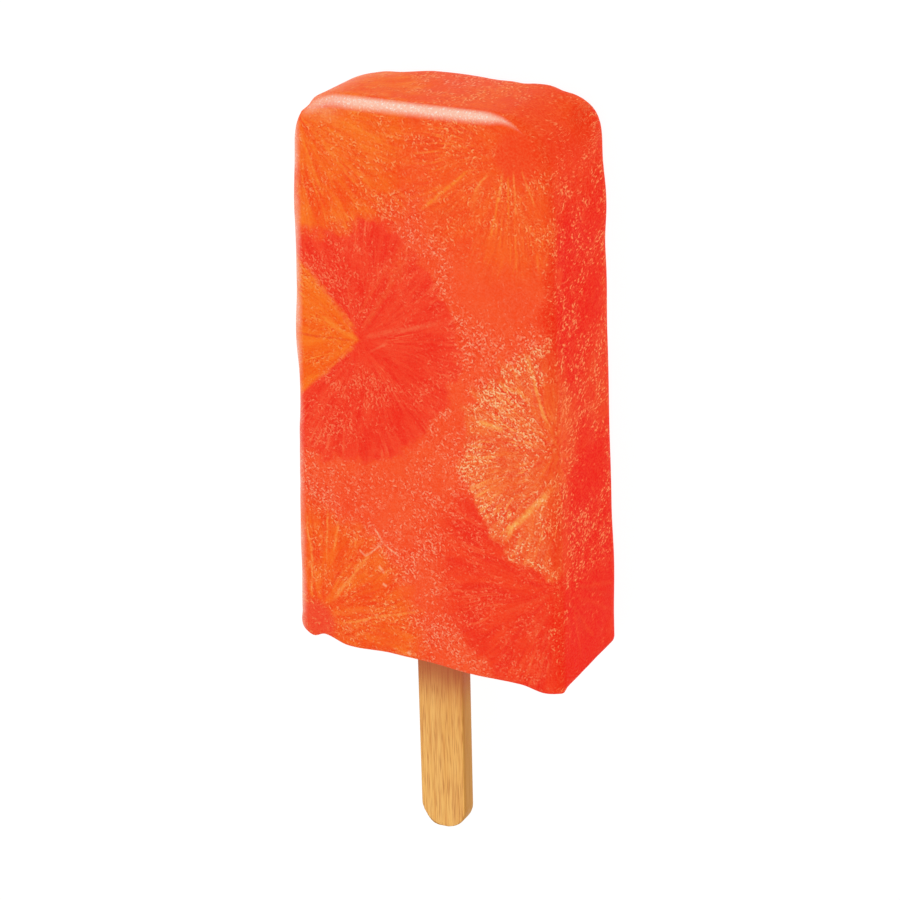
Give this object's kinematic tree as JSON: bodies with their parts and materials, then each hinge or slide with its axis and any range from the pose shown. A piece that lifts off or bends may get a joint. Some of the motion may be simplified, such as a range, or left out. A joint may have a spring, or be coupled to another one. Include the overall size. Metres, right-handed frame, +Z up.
{
  "type": "ice lolly",
  "caption": "Tapered ice lolly of frozen citrus juice with thin orange and blood orange slices frozen into its walls, on a flat wooden stick.",
  "frame": {"origin": "on the surface the lolly lies on, under the middle of its bounding box", "axes": "+Y from the stick's end towards the bar's tip, +Z up out of the front face, +X to the right with the front face towards the viewer and the tip up"},
  "size_m": [0.054, 0.1454, 0.024],
  "materials": {
    "frozen_juice": "frozen juice, faintly translucent, with a thin wet gloss and fine pale frost",
    "orange_flesh": "frozen orange flesh with pale radial fibres under a thin wet gloss",
    "blood_orange_flesh": "frozen blood orange flesh with fine radial fibres under a thin wet gloss",
    "birch_stick": "plain tumbled birch, matt, with fine brown grain"
  },
  "bodies": {
    "root": {"bar": "frozen_juice", "slice_blood_front": "blood_orange_flesh", "slice_orange_edge": "orange_flesh", "slice_blood_tip": "blood_orange_flesh", "slice_orange_foot": "orange_flesh", "slice_blood_foot": "blood_orange_flesh", "slice_orange_tip": "orange_flesh", "slice_orange_back": "orange_flesh", "slice_blood_back": "blood_orange_flesh", "stick": "birch_stick"}
  },
  "joints": []
}
